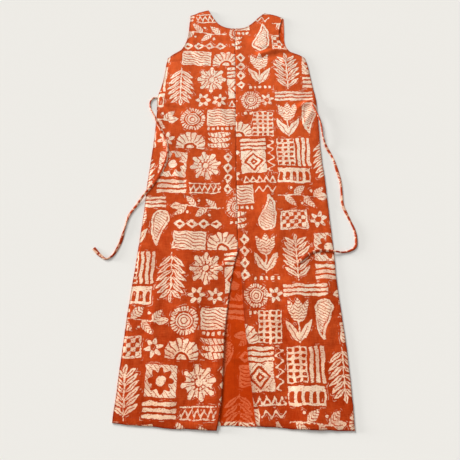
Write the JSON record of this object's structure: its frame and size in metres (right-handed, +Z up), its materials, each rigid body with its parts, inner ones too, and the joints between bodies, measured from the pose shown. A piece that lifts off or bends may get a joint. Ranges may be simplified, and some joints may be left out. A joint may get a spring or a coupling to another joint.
{
  "type": "maxi dress",
  "caption": "Sleeveless A-line maxi dress laid flat, round neck, front slit and waist ties, block-printed cotton.",
  "frame": {"origin": "middle of the whole outline in plan, ties included, on the surface that the dress lies on", "axes": "+Y from the hem to the shoulders, +X to the right of the picture, +Z up out of the surface, front side up"},
  "size_m": [0.7821, 1.359, 0.0088],
  "materials": {
    "printed_cloth": "matt block-printed cotton, cream motifs on rust",
    "back_cloth": "matt cotton, printed face down, plain rust wrong side up",
    "tie_cloth": "matt folded cotton strap"
  },
  "bodies": {
    "root": {"front_left": "printed_cloth", "front_right": "printed_cloth", "back": "back_cloth", "tie_left": "tie_cloth", "tie_right": "tie_cloth"}
  },
  "joints": []
}
